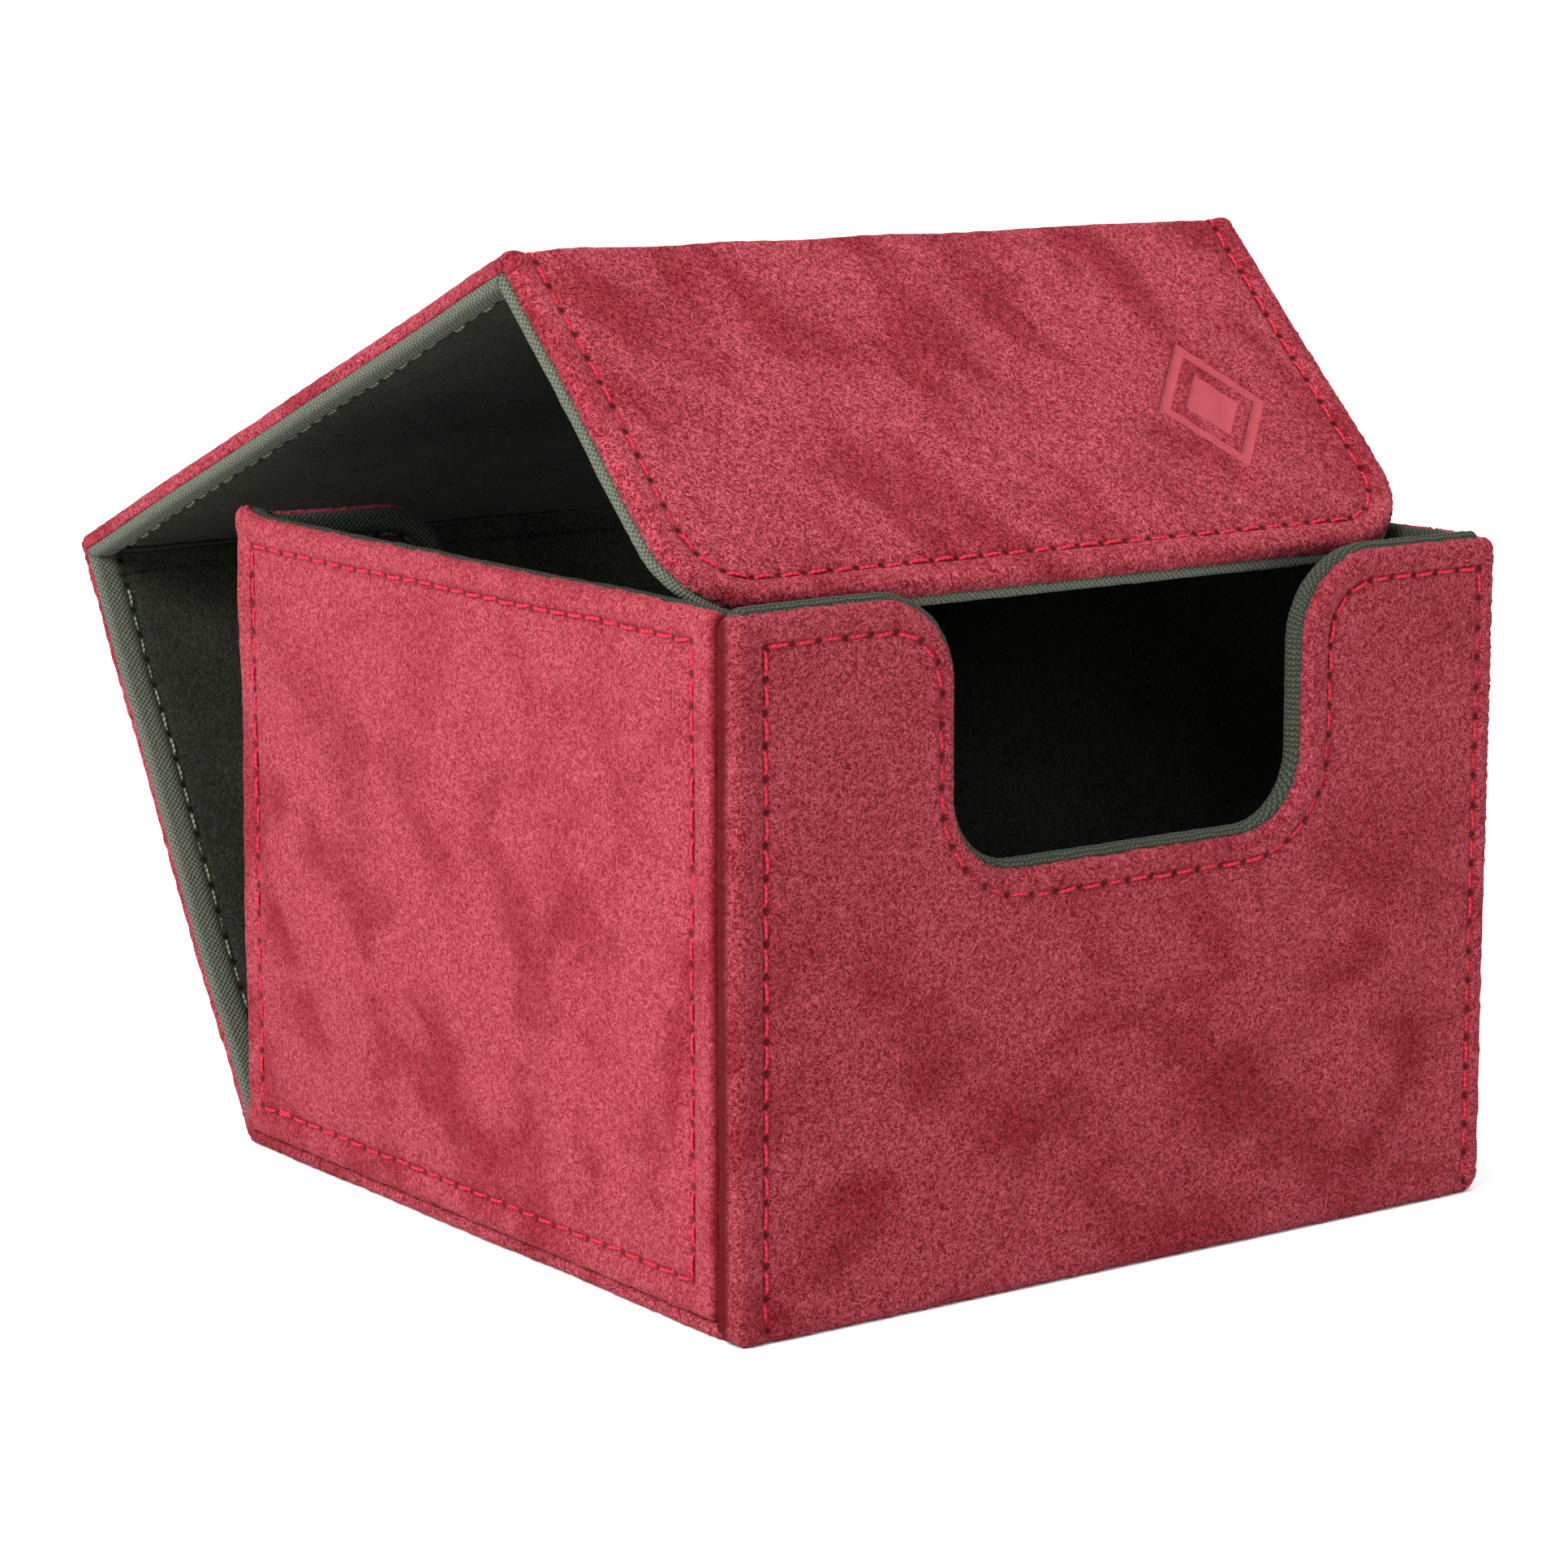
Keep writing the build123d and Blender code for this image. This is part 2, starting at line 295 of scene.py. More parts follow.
def rounded_line(points, radii):
    """Polyline through points with its corners rounded."""
    out = [np.array(points[0], float)]
    for i in range(1, len(points) - 1):
        p, a, b = (np.array(points[k], float) for k in (i, i - 1, i + 1))
        r = radii[i - 1]
        da, db = (a - p) / np.linalg.norm(a - p), (b - p) / np.linalg.norm(b - p)
        half = np.arccos(np.clip(da @ db, -1, 1)) / 2
        if r <= 0.05:
            out.append(p)
            continue
        back = r / tan(half)
        start, end = p + da * back, p + db * back
        centre = p + (da + db) / np.linalg.norm(da + db) * (r / sin(half))
        a0, a1 = np.arctan2(*(start - centre)[::-1]), np.arctan2(*(end - centre)[::-1])
        sweep = (a1 - a0 + pi) % (2 * pi) - pi
        steps = max(3, int(ceil(abs(sweep) * r / 0.7)))
        for k in range(steps + 1):
            t = a0 + sweep * k / steps
            out.append(centre + r * np.array([cos(t), sin(t)]))
    out.append(np.array(points[-1], float))
    return np.array(out)


# ---- outlines: distance inwards from a panel's rolled edges ----

def soft_min(x, y, radius):
    """Distance in a corner between two edges, rounded by radius."""
    inside = (x < radius) & (y < radius)
    return np.where(inside, radius - np.hypot(radius - x, radius - y), np.minimum(x, y))


def notch_distance(u, a):
    x = np.abs(u) - NOTCH_HALF
    below = NOTCH_FLOOR - a
    r = NOTCH_BOTTOM_R
    hollow = np.hypot(np.maximum(x + r, 0), np.maximum(below + r, 0)) - r
    ear = np.where(
        (a > HEIGHT - NOTCH_TOP_R) & (x < NOTCH_TOP_R),
        NOTCH_TOP_R - np.hypot(x - NOTCH_TOP_R, a - (HEIGHT - NOTCH_TOP_R)),
        x,
    )
    return np.where((x > 0) & (a > HEIGHT - NOTCH_TOP_R - 1e-9), ear, hollow)


def front_distance(u, a):
    side = HALF_W - np.abs(u)
    box = np.minimum(soft_min(side, HEIGHT - a, 1.5), soft_min(side, a, 2.2))
    return np.minimum(box, notch_distance(u, a))


rear_middle = tray.end / 2


def rear_distance(u, a):
    box = np.minimum(HEIGHT - a, a - BASE_TOP)
    return np.minimum(box, notch_distance(u - rear_middle, a))


def side_distance(u, a):
    end = np.minimum(u, tray.end - u)
    return np.minimum(soft_min(end, HEIGHT - a, 1.3), soft_min(end, a - BASE_TOP, 1.3))


def corner_distance(u, a):
    return np.minimum(HEIGHT - a, a - BASE_TOP) + 0 * u


def cover_distance(u, a):
    return COVER_HALF - np.abs(a) + 0 * u


def flap_distance(u, a):
    return soft_min(COVER_HALF - np.abs(a), cover.end - u, FLAP_CORNER)


# ---- meshes ----

def linked(name, data):
    """New object in the scene."""
    obj = bpy.data.objects.new(name, data)
    bpy.context.scene.collection.objects.link(obj)
    return obj


def new_object(name, verts, faces, marks, flat, material, body):
    """Closed mesh from millimetre points, with its shading attributes, riding on a body."""
    mesh = bpy.data.meshes.new(name)
    loops = np.concatenate([np.asarray(f, np.int32).ravel() for f in faces])
    sizes = np.concatenate([np.full(len(f), np.asarray(f).shape[1]) for f in faces])
    mesh.vertices.add(len(verts))
    mesh.vertices.foreach_set("co", (np.asarray(verts) * MM).astype(np.float32).ravel())
    mesh.loops.add(len(loops))
    mesh.loops.foreach_set("vertex_index", loops)
    mesh.polygons.add(len(sizes))
    mesh.polygons.foreach_set("loop_start", np.r_[0, np.cumsum(sizes)[:-1]].astype(np.int32))
    mesh.polygons.foreach_set("use_smooth", np.ones(len(sizes), bool))
    mesh.update(calc_edges=True)
    for key, values in (("flat", flat), ("marks", marks)):
        layer = mesh.attributes.new(key, "FLOAT_VECTOR", "POINT")
        layer.data.foreach_set("vector", np.asarray(values, np.float32).ravel())
    bm = bmesh.new()
    bm.from_mesh(mesh)
    bmesh.ops.remove_doubles(bm, verts=bm.verts, dist=2e-6)
    bm.to_mesh(mesh)
    bm.free()
    mesh.set_sharp_from_angle(angle=radians(52))
    mesh.materials.append(material)
    obj = linked(name, mesh)
    if body:
        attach(obj, body)
    return obj


def grid_lines(low, high, spacing, fine=None, bands=()):
    """Grid lines from low to high, closer together inside the bands."""
    x = np.linspace(low, high, 3000)
    fine = fine or spacing
    within = np.zeros(len(x), bool)
    for start, end in bands:
        within |= (x >= start) & (x <= end)
    density = 1 / np.where(within, fine, spacing)
    total = np.r_[0, np.cumsum((density[1:] + density[:-1]) / 2 * np.diff(x))]
    count = max(1, int(round(total[-1])))
    return np.interp(np.linspace(0, total[-1], count + 1), total, x)


def across(half, line, spacing, fine, edge=7, bands=()):
    """Grid lines from -half to half less the roll line, closer together along both ends and in the bands."""
    bands = [(-half, -half + edge), (half - edge, half), *bands]
    return grid_lines(-half + line, half - line, spacing, fine, bands)


def boundary_loop(quads):
    """Vertices round the outside of a patch of quads, in order."""
    edges = np.concatenate([quads[:, [k, (k + 1) % 4]] for k in range(4)])
    key = edges[:, 0].astype(np.int64) * (quads.max() + 1) + edges[:, 1]
    reverse = edges[:, 1].astype(np.int64) * (quads.max() + 1) + edges[:, 0]
    outer = edges[~np.isin(key, reverse)]
    after = dict(zip(outer[:, 0].tolist(), outer[:, 1].tolist()))
    start = int(outer[0, 0])
    loop, at = [start], after[start]
    while at != start:
        loop.append(at)
        at = after[at]
    return np.array(loop)


def gradient(distance, u, a, step=0.05):
    gu = distance(u + step, a) - distance(u - step, a)
    ga = distance(u, a + step) - distance(u, a - step)
    size = np.maximum(np.hypot(gu, ga), 1e-9)
    return gu / size, ga / size


def patch(us, hs, distance, inset, fine):
    """Quads of the grid inside a rolled edge, with the patch's edge points moved exactly onto that line."""
    u, a = (m.ravel() for m in np.meshgrid(us, hs, indexing="ij"))
    inside = distance(u, a) >= inset - 0.4 * fine
    rows, cols = len(us), len(hs)
    i = (np.arange(rows - 1)[:, None] * cols + np.arange(cols - 1)).ravel()
    quads = np.stack([i, i + cols, i + cols + 1, i + 1], 1)
    quads = quads[inside[quads].all(1)]
    used, quads = np.unique(quads, return_inverse=True)
    quads = quads.reshape(-1, 4)
    u, a = u[used].copy(), a[used].copy()
    loop = boundary_loop(quads)
    lu, la = u[loop], a[loop]
    on_border = (lu == us[0]) | (lu == us[-1]) | (la == hs[0]) | (la == hs[-1])
    near = ~on_border | (distance(lu, la) < inset + 0.12 * fine)
    free = near & ~on_border
    for step in range(10):
        if step:
            for values in (lu, la):
                even = 0.5 * values + 0.25 * (np.roll(values, 1) + np.roll(values, -1))
                values[free] = even[free]
        gu, ga = gradient(distance, lu, la)
        off = np.where(near, inset - distance(lu, la), 0.0)
        lu, la = lu + gu * off, la + ga * off
    u[loop], a[loop] = lu, la
    return u, a, quads, loop, near


def skin_profile(height, crust):
    """(outward from the roll line, depth) of each ring from the outer face round the edge and under it."""
    rings = []
    for angle in (20, 40, 60, 80, 95):
        t = radians(angle)
        rings.append((ROLL * sin(t), -height * max(cos(t), 0) + ROLL * (1 - cos(t))))
    return rings + [(ROLL, crust - 0.3), (ROLL - 0.1, crust - 0.1), (ROLL - 0.3, crust),
                    (ROLL - 0.75, crust), (ROLL - 0.8, np.full_like(height, SHELL))]


def lining_profile(height, thick, bead):
    """The same for the lining's rolled edge. A row of bead is (radius, how far it stands out, depth)."""
    radius, proud, centre = bead.T
    rings = []
    for angle in (0, 22, 45, 68, 90, 112, 135, 155):
        t = radians(angle)
        out = LINING_ROLL - (radius - proud) + radius * sin(t)
        rings.append((out, centre + radius * cos(t)))
    last = rings[-1][1]
    return rings + [(LINING_ROLL - 0.75, last + 0.03),
                    (LINING_ROLL - 0.8, np.full_like(height, thick - LINING_SHELL))]


def panel(name, body, path, us, hs, distance, relief, material, nodes,
          crust=None, bead=None, thick=WALL, layer=0.0, curved=False):
    """One cloth-covered face of a panel: the suede side, or the lining side where bead is given."""
    lining = bead is not None
    inset, fine = (LINING_ROLL, LINING_FINE) if lining else (ROLL, FINE)
    u, a, quads, loop, near = patch(us, hs, distance, inset, fine)
    height, marks = relief(u, a)
    depth = thick + height if lining else -height
    gu, ga = gradient(distance, u[loop], a[loop])
    gu, ga = np.where(near, -gu, 0.0), np.where(near, -ga, 0.0)
    hb = height[loop]
    if lining:
        profile = lining_profile(hb, thick, bead(u[loop], a[loop]))
    else:
        profile = skin_profile(hb, crust(u[loop], a[loop]))
    shell_depth = thick - LINING_SHELL if lining else SHELL
    columns, all_marks = [np.stack([u, a, depth, u, a])], [marks]
    travelled = np.zeros(len(loop))
    last_out, last_depth = np.zeros(len(loop)), depth[loop]
    n = len(u)
    rings = []
    for k, (out, ring_depth) in enumerate(profile):
        out = out + np.zeros(len(loop))
        limit = np.maximum if lining else np.minimum
        ring_depth = np.where(near, ring_depth, limit(ring_depth, shell_depth))
        travelled = travelled + np.hypot(out - last_out, ring_depth - last_depth)
        last_out, last_depth = out, ring_depth
        wobble = 0.0
        if k < len(profile) - 3:
            where = np.stack([u[loop] + out * gu, a[loop] + out * ga, ring_depth], 1)
            wobble = FUZZ * (0.4 if lining else 1.0) * ripple(where, 0.9, 5) * (1 if k else 0.3)
        columns.append(np.stack([u[loop] + (out + wobble) * gu, a[loop] + (out + wobble) * ga, ring_depth,
                                 u[loop] + travelled * gu, a[loop] + travelled * ga]))
        ring_marks = marks[loop].copy()
        ring_marks[:, 0] = np.where(near, 1.0, ring_marks[:, 0])
        ring_marks[:, 1] = 9.0
        all_marks.append(ring_marks)
        rings.append(n + k * len(loop) + np.arange(len(loop)))
    faces = [quads]
    previous = loop
    for ring in rings:
        faces.append(np.stack([previous, ring, np.roll(ring, -1), np.roll(previous, -1)], 1))
        previous = ring
    if curved:
        inner = np.ones(n, bool)
        inner[loop] = False
        index = np.zeros(n, int)
        index[loop] = previous
        index[inner] = n + len(rings) * len(loop) + np.arange(inner.sum())
        faces.append(index[quads][:, ::-1])
        columns.append(np.stack([u, a, np.full(n, shell_depth), u, a])[:, inner])
        all_marks.append(marks[inner])
    else:
        faces.append(previous[::-1][None, :])
    if lining:
        faces = [f[:, ::-1] for f in faces]
    all_u, all_a, all_d, flat_u, flat_a = np.concatenate(columns, 1)
    verts = place(path, all_u, all_a, all_d)
    flat = np.stack([flat_u, flat_a, np.full(len(verts), layer)], 1)
    obj = new_object(name, verts, faces, np.concatenate(all_marks), flat, material, body)
    if nodes:
        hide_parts(*nodes)
    return obj


# ---- relief of a sewn face ----

def sewn(distance, seams, puff=0.22, wave=0.10, press=None, crease=None, seed=1, lining=False):
    """Height and shading marks of a face: rolled margin, stitch channel, soft waviness.

    The marks are (nearness to the edge, distance from the seam, place along the seam in stitches).
    """

    def relief(u, a):
        d = np.maximum(distance(u, a), 0.0)
        off, index = nearest_seam(u, a, seams)
        margin = np.clip(d / STITCH_IN, 0, 1)
        height = puff * np.sin(pi * margin) ** 0.8
        height -= (0.2 if lining else 0.28) * np.exp(-(off / 0.5) ** 2)
        height -= 0.12 * np.exp(-(off / 1.7) ** 2)
        points = np.stack([u, a], 1)
        height += wave * ripple(points, 26.0, seed) * smooth(d / 8.0)
        height += 0.03 * ripple(points, 3.4, seed + 50)
        if press is not None:
            height -= 0.3 * press(u, a)
        if crease is not None:
            height -= 0.2 * crease(u, a)
        return height, np.stack([1 - smooth((d - 2.0) / 1.8), off, index], 1)

    return relief


# ---- thread ----

def thread(name, body, path, runs, material, thick=None):
    """Separate stitches between needle holes, on the outer face, or on the lining where thick is given."""
    verts, faces, flat = [], [], []
    rings, around = 8, 7
    count = 0
    for holes in runs:
        for start, end in zip(holes[:-1], holes[1:]):
            along = end - start
            length = np.linalg.norm(along)
            if length < 0.5:
                continue
            along = along / length
            sideways = np.array([-along[1], along[0]])
            slant, bow = rng.normal(0.05, 0.07), rng.normal(0, 0.06)
            sink = np.clip(rng.normal(0.03, 0.09), -0.08, 0.24)
            rows = []
            for t in np.linspace(0, 1, rings):
                end_ness = abs(2 * t - 1)
                wide = THREAD * (1 - 0.3 * end_ness ** 4)
                aside = slant * (2 * t - 1) + bow * sin(pi * t)
                middle = start + along * (HOLE_GAP + (length - 2 * HOLE_GAP) * t) + sideways * aside
                depth = STITCH_DEPTH + sink + STITCH_DIP * end_ness ** 4
                for k in range(around):
                    b = 2 * pi * k / around
                    spot = middle + sideways * (wide * 1.15 * cos(b))
                    verts.append((spot[0], spot[1], depth - wide * 0.9 * sin(b)))
                    flat.append((count * 5.0 + t * length, k / around * 2 * pi * THREAD, 7.0))
                rows.append(len(verts) - around + np.arange(around))
            for r0, r1 in zip(rows[:-1], rows[1:]):
                faces.append(np.stack([r0, r1, np.roll(r1, -1), np.roll(r0, -1)], 1))
            faces.append(rows[0][None, :])
            faces.append(rows[-1][::-1][None, :])
            count += 1
    verts = np.array(verts)
    if thick is not None:
        verts[:, 2] = thick - verts[:, 2]
        faces = [f[:, ::-1] for f in faces]
    points = place(path, verts[:, 0], verts[:, 1], verts[:, 2])
    obj = new_object(name, points, faces, np.zeros((len(points), 3)), np.array(flat), material, body)
    return obj


def runs_between(seams, low, high):
    """Runs of needle holes whose stitches lie in a stretch of the path."""
    runs = []
    for seam in seams:
        run = []
        for p, q in zip(seam.holes[:-1], seam.holes[1:]):
            if low <= (p[0] + q[0]) / 2 < high:
                run = run + [q] if run else [p, q]
            elif run:
                runs.append(np.array(run))
                run = []
        if run:
            runs.append(np.array(run))
    return runs


# ---- materials ----

class Nodes:
    """Short way to wire a node material."""

    def __init__(self, name):
        self.material = bpy.data.materials.new(name)
        self.material.use_nodes = True
        self.tree = self.material.node_tree
        self.tree.nodes.clear()
        self.out = self.tree.nodes.new("ShaderNodeOutputMaterial")

    def add(self, kind, settings=None, **inputs):
        """New node; an input is named, or is i0, i1 and so on by its place."""
        node = self.tree.nodes.new("ShaderNode" + kind)
        for key, value in (settings or {}).items():
            setattr(node, key, value)
        for key, value in inputs.items():
            by_place = key[0] == "i" and key[1:].isdigit()
            socket = node.inputs[int(key[1:])] if by_place else node.inputs[key.replace("_", " ")]
            if isinstance(value, bpy.types.NodeSocket):
                self.tree.links.new(value, socket)
            else:
                socket.default_value = value
        return node

    def math(self, operation, a, b=0.0, c=0.0):
        node = self.add("Math", {"operation": operation}, i0=a, i1=b)
        node.inputs[2].default_value = c
        return node.outputs[0]

    def plus(self, a, b):
        return self.math("ADD", a, b)

    def minus(self, a, b):
        return self.math("SUBTRACT", a, b)

    def times(self, a, b):
        return self.math("MULTIPLY", a, b)

    def weigh(self, *terms):
        """Sum of (value, weight) terms."""
        *others, (value, weight) = terms
        total = self.times(value, weight)
        for value, weight in reversed(others):
            total = self.plus(self.times(value, weight), total)
        return total

    def bend(self, vector, scale, detail, amount):
        """The vector moved about by a noise, by up to this amount."""
        warp = self.add("TexNoise", Vector=vector, Scale=scale, Detail=detail).outputs["Color"]
        node = self.add("VectorMath", {"operation": "MULTIPLY_ADD"}, i0=warp, i1=(amount,) * 3, i2=vector)
        return node.outputs[0]

    def mix(self, share, a, b):
        return self.add("Mix", {"data_type": "RGBA"}, i0=share, i6=a, i7=b).outputs[2]

    def spread(self, value, low, high, to_low=0.0, to_high=1.0):
        """Smooth step of a value between two levels."""
        node = self.add("MapRange", {"interpolation_type": "SMOOTHSTEP"},
                        i0=value, i1=low, i2=high, i3=to_low, i4=to_high)
        return node.outputs[0]

    def noise(self, vector, scale, detail=2.0, roughness=0.5, distortion=0.0):
        node = self.add("TexNoise", Vector=vector, Scale=scale, Detail=detail,
                        Roughness=roughness, Distortion=distortion)
        return node.outputs["Fac"]

    def sized(self, vector, size, turn=0.0, shift=0.0):
        """The vector turned about z, in units of this size."""
        node = self.add("Mapping", {"vector_type": "TEXTURE"}, Vector=vector, Scale=size,
                        Rotation=(0.0, 0.0, radians(turn)), Location=(shift, shift, 0.0))
        return node.outputs[0]

    def split(self, vector):
        return self.add("SeparateXYZ", Vector=vector).outputs

    def attribute(self, name):
        return self.add("Attribute", {"attribute_name": name}).outputs["Vector"]

    def finish(self, shader):
        self.tree.links.new(shader.outputs[0], self.out.inputs["Surface"])
        return self.material

    def surface(self, colour, roughness, strength, distance, height, **inputs):
        """The finished material, with a bump of this strength and distance, in metres."""
        bump = self.add("Bump", Strength=strength, Distance=distance, Height=height)
        return self.finish(self.add("BsdfPrincipled", Base_Color=colour, Roughness=roughness,
                                    Normal=bump.outputs[0], **inputs))


def rgb(r, g, b, gain=1.0):
    """Linear colour of an sRGB triple given from 0 to 255."""
    def linear(c):
        c /= 255
        return c / 12.92 if c < 0.04045 else ((c + 0.055) / 1.055) ** 2.4
    return (gain * linear(r), gain * linear(g), gain * linear(b), 1.0)


def needle_holes(n, off, index):
    """Masks for painted shade: 1 in the needle holes, and fainter along the stitch channel."""
    along = n.times(n.minus(index, n.math("ROUND", index)), STITCH_PITCH)
    away = n.math("SQRT", n.plus(n.times(along, along), n.times(off, off)))
    return n.spread(away, 0.62, 0.22), n.spread(off, 0.75, 0.1, 0.0, 0.45)


def fibres(n, flat, length, width):
    """Short curled fibres lying every way: the strongest of four turned streak patterns."""
    bent = n.bend(flat, 1.3, 1.0, 0.8)
    best = None
    for i, turn in enumerate((12, 58, 101, 149)):
        streak = n.noise(n.sized(bent, (length, width, 1.0), turn, 3.7 * i), 1.0, 1.0, 0.5)
        best = streak if best is None else n.math("MAXIMUM", best, streak)
    return best


MARK_SQUASH, MARK_OUTER, MARK_INNER, MARK_CORE = 0.86, 9.2, 6.9, 4.6
MARK_SOFT, MARK_RIM = 0.25, 0.7
MARK_AT = (cover.run(3)[0] + 26.5, 31.0)


def pressed_mark(u, a):
    """Plain lozenge pressed into the flap: one diamond inside another."""
    out = np.abs(a - MARK_AT[1]) / MARK_SQUASH + np.abs(u - MARK_AT[0])
    ring = smooth((MARK_OUTER - out) / 0.4) * smooth((out - MARK_INNER) / 0.4)
    return np.maximum(ring, smooth((MARK_CORE - out) / 0.4))


def mark_shares(n, place_u, place_a):
    """1 on the pressed lozenge, and 1 on the pile that leans over its edges, where shade is painted."""
    x = n.times(n.math("ABSOLUTE", n.minus(place_a, MARK_AT[1])), 1 / MARK_SQUASH)
    out = n.plus(x, n.math("ABSOLUTE", n.minus(place_u, MARK_AT[0])))
    ring = n.times(n.spread(out, MARK_OUTER, MARK_OUTER - MARK_SOFT),
                   n.spread(out, MARK_INNER, MARK_INNER + MARK_SOFT))
    pressed = n.math("MAXIMUM", ring, n.spread(out, MARK_CORE, MARK_CORE - MARK_SOFT))
    rim = n.times(n.spread(out, MARK_OUTER + MARK_RIM, MARK_OUTER), n.minus(1.0, pressed))
    return pressed, rim


TONE_POWERS = (0.55, 1.45, 1.25)
PATCH_GAIN = 0.54         # brightness of a brushed patch against the pile round it


def suede(name, colour, contrast, fibre_size, relief_depth, nap, turn=0.0, low_down=None, marked=False,
          holes=0.9, groove=None):
    """Napped suede: curled fibres over a darker ground, brushed patches and a pressed mark, with painted
    shade in the needle holes, along the stitch channels, round the pressed mark and in the groove.

    groove is a place along the path, and the distances from it between which shade is painted on the cloth
    where it turns into the gap past its end.
    """
    n = Nodes(name)
    flat = n.attribute("flat")
    _, off, index = n.split(n.attribute("marks"))[:3]
    place_u, place_a, _ = n.split(flat)[:3]
    hole, channel = needle_holes(n, off, index)

    broad = n.noise(n.sized(flat, (*nap, 1.0), turn), 1.0, 2.0, 0.45, 0.3)
    smear = n.noise(n.sized(flat, (nap[0] * 0.45, nap[1] * 0.2, 1.0), turn), 1.0, 1.0, 0.5, 0.3)
    patch_share = n.spread(n.weigh((broad, 0.86), (smear, 0.14)), 0.57, 0.34)
    if low_down:
        patch_share = n.times(patch_share, n.spread(place_a, *low_down, 0.35, 1.0))

    fibre = fibres(n, flat, *fibre_size)
    tuft = n.noise(flat, 1.5, 2.0, 0.6, 0.5)
    fine = n.noise(flat, 5.0, 1.0)
    lit = n.weigh((n.spread(fibre, 0.50, 0.76), 0.72), (tuft, 0.10), (fine, 0.36))
    lit_share = n.spread(lit, 0.12, 0.95)

    def tone(gain):
        """The colour at this brightness: shaded pile is redder as well as darker, tips are paler."""
        return tuple(c * gain ** power for c, power in zip(colour, TONE_POWERS)) + (1.0,)

    deep, tip = 0.40 - 0.30 * (contrast - 1.0), 1.62 + 0.45 * (contrast - 1.0)
    pile = n.mix(lit_share, tone(deep), tone(tip))
    pile = n.mix(patch_share, pile, n.mix(lit_share, tone(deep * PATCH_GAIN), tone(tip * PATCH_GAIN)))
    relief = n.weigh((fibre, 1.0), (tuft, 0.3), (fine, 0.15))
    if marked:
        pressed, rim = mark_shares(n, place_u, place_a)
        # Painted shade on the pile that leans over the pressed mark's edges.
        pile = n.mix(n.times(rim, 0.25), pile, tone(0.35))
        pile = n.mix(n.times(pressed, 0.9), pile, n.mix(0.08, tone(0.95), rgb(190, 150, 150)))
        relief = n.times(relief, n.minus(1.0, n.times(pressed, 0.85)))
    # Painted shade on the suede where it turns into the gap past the panel's end.
    if groove:
        middle, start, end = groove
        aside = n.math("ABSOLUTE", n.minus(place_u, middle))
        pile = n.mix(n.spread(aside, start, end), pile, tone(0.12))
    # Painted shade along the stitch channel, and near black painted in the needle holes.
    pile = n.mix(channel, pile, tone(0.42))
    pile = n.mix(n.times(hole, holes), pile, tone(0.02))
    return n.surface(pile, 0.95, 0.8, relief_depth, relief, Specular_IOR_Level=0.04, Sheen_Weight=0.05,
                     Sheen_Roughness=0.5, Sheen_Tint=(1.0, 0.45, 0.45, 1.0))


RIB, KNIT_PITCH = 0.6, 0.68


def knit(name, panel_colour, edge_colour, ribbed=False):
    """Brushed knit lining: felt-like inside a panel, with its stitches showing where it is stretched.

    They show as ribs across a wall's upright edges where ribbed, and otherwise as staggered bumps, with
    painted shade between them, along the stitch channels and in the needle holes.
    """
    n = Nodes(name)
    flat = n.attribute("flat")
    edge, off, index = n.split(n.attribute("marks"))[:3]
    hole, channel = needle_holes(n, off, index)
    u, a = n.split(n.bend(flat, 0.7, 2.0, 0.5))[:2]
    if ribbed:
        wale = n.math("ABSOLUTE", n.math("SINE", n.times(u, pi / RIB)))
        course = n.plus(n.times(a, 2 * pi / RIB), n.times(wale, 2.6))
        loops = n.times(n.math("MULTIPLY_ADD", n.math("SINE", course), 0.5, 0.5),
                        n.math("MULTIPLY_ADD", wale, 0.6, 0.4))
    else:
        rows = n.times(n.math("SINE", n.times(u, 2 * pi / KNIT_PITCH)),
                       n.math("SINE", n.times(a, 2 * pi / KNIT_PITCH)))
        loops = n.math("MULTIPLY_ADD", rows, 0.6, 0.5)
    felt = fibres(n, flat, 0.55, 0.15)
    wear = n.noise(flat, 0.10, 2.0, 0.5, 0.4)
    weave_share = n.math("MULTIPLY_ADD", edge, 0.65, 0.2)
    relief = n.mix(weave_share, n.spread(felt, 0.48, 0.78), loops)
    ground = n.mix(edge, panel_colour, edge_colour)
    ground = n.mix(n.times(n.spread(wear, 0.42, 0.62), 0.08), ground, edge_colour)
    # The colour follows the knit's relief: painted shade between its loops and ribs.
    dark = n.mix(0.7, ground, (0.0, 0.0, 0.0, 1.0))
    light = n.mix(0.05, ground, rgb(150, 158, 134))
    colour = n.mix(relief, dark, light)
    # Painted shade along the stitch channel, and near black painted in the needle holes.
    colour = n.mix(channel, colour, dark)
    colour = n.mix(n.times(hole, 0.9), colour, (0.002, 0.003, 0.002, 1.0))
    return n.surface(colour, 0.92, 0.8, 0.0002, relief, Specular_IOR_Level=0.04, Sheen_Weight=0.02,
                     Sheen_Roughness=0.5)


def twisted(name, light, dark, roughness):
    """Sewing thread: two plies twisted together, with painted shade in the grooves between them."""
    n = Nodes(name)
    along, around, _ = n.split(n.attribute("flat"))[:3]
    turn = n.plus(n.times(along, 2 * pi / 0.75), n.times(around, 1 / THREAD))
    ply = n.math("MULTIPLY_ADD", n.math("SINE", turn), 0.5, 0.5)
    colour = n.mix(n.spread(ply, 0.1, 0.9), dark, light)
    return n.surface(colour, roughness, 0.6, 0.00008, ply, Specular_IOR_Level=0.2)


def board_material():
    n = Nodes("grey_board_pulp")
    where = n.add("TexCoord").outputs["Object"]
    pulp = n.noise(where, 900.0, 4.0, 0.65)
    speck = n.noise(where, 2600.0, 2.0)
    colour = n.mix(n.spread(pulp, 0.35, 0.65), rgb(118, 113, 104), rgb(146, 141, 131))
    colour = n.mix(n.times(n.spread(speck, 0.62, 0.7), 0.5), colour, rgb(80, 76, 70))
    return n.surface(colour, 0.9, 0.3, 0.00005, pulp)


